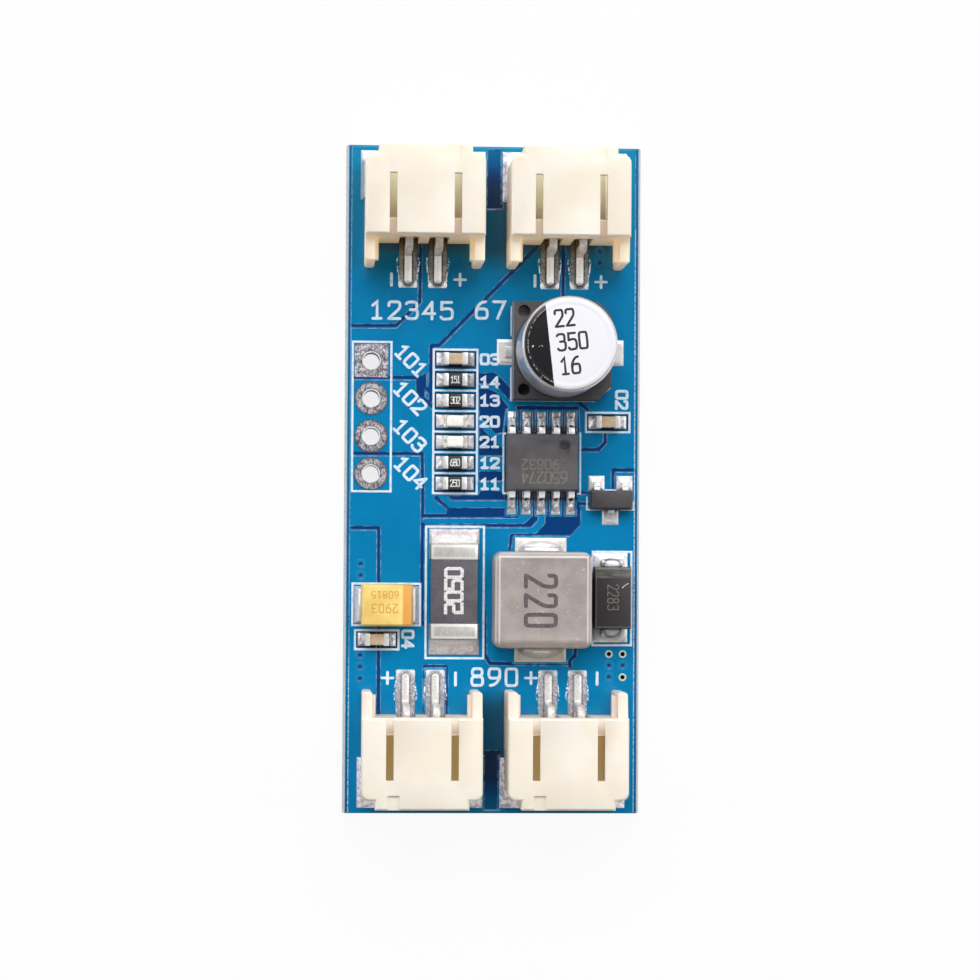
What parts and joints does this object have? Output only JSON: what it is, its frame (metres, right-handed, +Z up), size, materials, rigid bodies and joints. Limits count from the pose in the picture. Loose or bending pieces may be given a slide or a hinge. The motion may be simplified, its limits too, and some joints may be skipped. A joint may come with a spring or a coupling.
{
  "type": "lithium battery charger module",
  "caption": "Narrow blue circuit board that charges one lithium cell from a small supply, with side-entry wire sockets at both ends and a row of header holes.",
  "frame": {"origin": "centre of the board's underside", "axes": "+Z up out of the component side, +Y along the board towards the two supply sockets, +X to the right seen from above"},
  "size_m": [0.02, 0.045, 0.0093],
  "materials": {
    "board_mask": "blue solder mask over glass-epoxy laminate",
    "tin": "bright tin and solder",
    "socket_nylon": "ivory moulded nylon, semi-matt",
    "tinned_brass": "tin-plated brass",
    "can_aluminium": "satin drawn can with printed top",
    "black_moulding": "black moulding compound",
    "moulded_iron_powder": "warm grey pressed iron powder in resin, satin",
    "yellow_moulding": "yellow moulding compound with an orange end band",
    "tinned_lead": "tin-plated leads and end caps",
    "resistor_ceramic": "alumina with a black overcoat",
    "tan_ceramic": "brown-tan barium titanate",
    "lamp_resin": "milky clear resin",
    "lamp_base": "white chip base"
  },
  "bodies": {
    "root": {"battery_socket_left_contact_a": "tinned_brass", "battery_socket_left_contact_b": "tinned_brass", "battery_socket_left_housing": "socket_nylon", "battery_socket_left_tabs": "tinned_brass", "battery_socket_right_contact_a": "tinned_brass", "battery_socket_right_contact_b": "tinned_brass", "battery_socket_right_housing": "socket_nylon", "battery_socket_right_tabs": "tinned_brass", "board": "board_mask", "capacitor_c2_body": "tan_ceramic", "capacitor_c2_terminals": "tinned_lead", "capacitor_c3_body": "tan_ceramic", "capacitor_c3_terminals": "tinned_lead", "capacitor_c4_body": "tan_ceramic", "capacitor_c4_terminals": "tinned_lead", "charge_controller_body": "black_moulding", "charge_controller_leads": "tinned_lead", "charged_lamp_base": "lamp_base", "charged_lamp_lens": "lamp_resin", "charged_lamp_terminals": "tinned_lead", "charging_lamp_base": "lamp_base", "charging_lamp_lens": "lamp_resin", "charging_lamp_terminals": "tinned_lead", "electrolytic_base": "black_moulding", "electrolytic_can": "can_aluminium", "electrolytic_leads": "tinned_lead", "header_eyelets": "tin", "inductor_body": "moulded_iron_powder", "inductor_leads": "tinned_lead", "rectifier_body": "black_moulding", "rectifier_leads": "tinned_lead", "resistor_r1_body": "resistor_ceramic", "resistor_r1_terminals": "tinned_lead", "resistor_r2_body": "resistor_ceramic", "resistor_r2_terminals": "tinned_lead", "resistor_r3_body": "resistor_ceramic", "resistor_r3_terminals": "tinned_lead", "resistor_r4_body": "resistor_ceramic", "resistor_r4_terminals": "tinned_lead", "sense_resistor_body": "resistor_ceramic", "sense_resistor_terminals": "tinned_lead", "solder_fillets": "tin", "solder_lands": "tin", "supply_socket_left_contact_a": "tinned_brass", "supply_socket_left_contact_b": "tinned_brass", "supply_socket_left_housing": "socket_nylon", "supply_socket_left_tabs": "tinned_brass", "supply_socket_right_contact_a": "tinned_brass", "supply_socket_right_contact_b": "tinned_brass", "supply_socket_right_housing": "socket_nylon", "supply_socket_right_tabs": "tinned_brass", "switch_transistor_body": "black_moulding", "switch_transistor_leads": "tinned_lead", "tantalum_body": "yellow_moulding", "tantalum_leads": "tinned_lead"}
  },
  "joints": []
}
